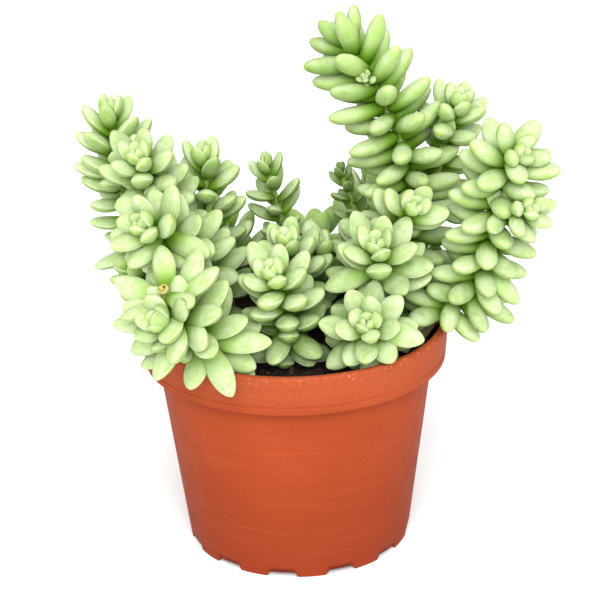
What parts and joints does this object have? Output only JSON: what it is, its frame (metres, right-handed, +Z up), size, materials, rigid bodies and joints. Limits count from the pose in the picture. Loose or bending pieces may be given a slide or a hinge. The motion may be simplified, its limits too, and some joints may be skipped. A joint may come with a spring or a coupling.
{
  "type": "potted burro's tail plant",
  "caption": "Burro's tail succulent: upright leafy stems with plump spiralled leaves, rooted in soil in a round plastic nursery pot.",
  "frame": {"origin": "middle of the outline seen from above, on the surface that the pot stands on", "axes": "+Z up along the pot's axis, +X to the right of the side that the picture shows, -Y towards the viewer of that side"},
  "size_m": [0.1614, 0.1454, 0.1875],
  "materials": {
    "pot_plastic": "matte terracotta-coloured moulded plastic",
    "potting_mix": "rough, damp, dark peat and bark crumbs",
    "leaves": "waxy succulent skin with a pale bloom"
  },
  "bodies": {
    "root": {"pot": "pot_plastic", "soil": "potting_mix", "stem_front_left": "leaves", "stem_tall": "leaves", "stem_right_outer": "leaves", "stem_front_right": "leaves", "stem_right_front": "leaves", "stem_center_front": "leaves", "stem_left_low": "leaves", "stem_right_middle": "leaves", "stem_left_middle": "leaves", "stem_center": "leaves", "stem_right_back": "leaves", "stem_left_outer": "leaves", "stem_left_back": "leaves", "stem_back_slender": "leaves", "stem_back_sprig": "leaves", "stem_center_back": "leaves", "stem_rear_left": "leaves", "stem_rear_middle": "leaves", "stem_rear_right": "leaves", "stem_far_left": "leaves", "stem_far_right": "leaves"}
  },
  "joints": []
}
